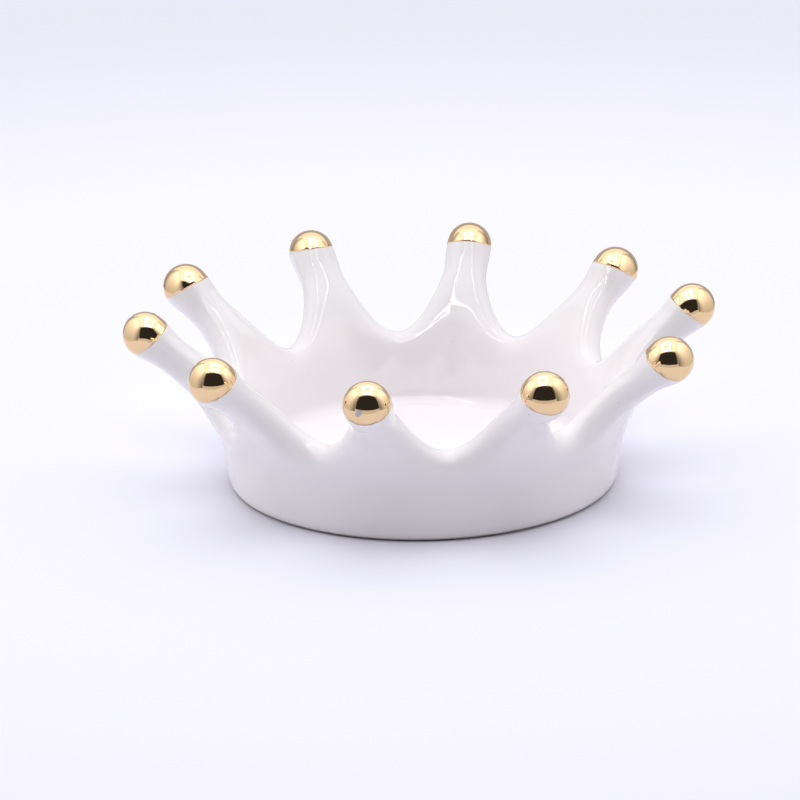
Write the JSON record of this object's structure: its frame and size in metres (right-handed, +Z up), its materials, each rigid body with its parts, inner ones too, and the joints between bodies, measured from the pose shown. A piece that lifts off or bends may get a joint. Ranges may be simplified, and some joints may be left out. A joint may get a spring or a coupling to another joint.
{
  "type": "brush rest",
  "caption": "Crown-shaped porcelain brush rest: a round dish whose wall rises into outward-leaning points with gilded ball tips, with notches for brush handles between them.",
  "frame": {"origin": "centre of the foot, on the surface that the dish stands on", "axes": "+Z up along the dish's axis, +X towards one of the points"},
  "size_m": [0.1088, 0.104, 0.0345],
  "materials": {
    "glazed_porcelain": "white porcelain under a clear gloss glaze",
    "gold_lustre": "bright fired gold lustre, mirror smooth"
  },
  "bodies": {
    "root": {"crown_dish": "glazed_porcelain", "gilt_tip_01": "gold_lustre", "gilt_tip_02": "gold_lustre", "gilt_tip_03": "gold_lustre", "gilt_tip_04": "gold_lustre", "gilt_tip_05": "gold_lustre", "gilt_tip_06": "gold_lustre", "gilt_tip_07": "gold_lustre", "gilt_tip_08": "gold_lustre", "gilt_tip_09": "gold_lustre", "gilt_tip_10": "gold_lustre"}
  },
  "joints": []
}
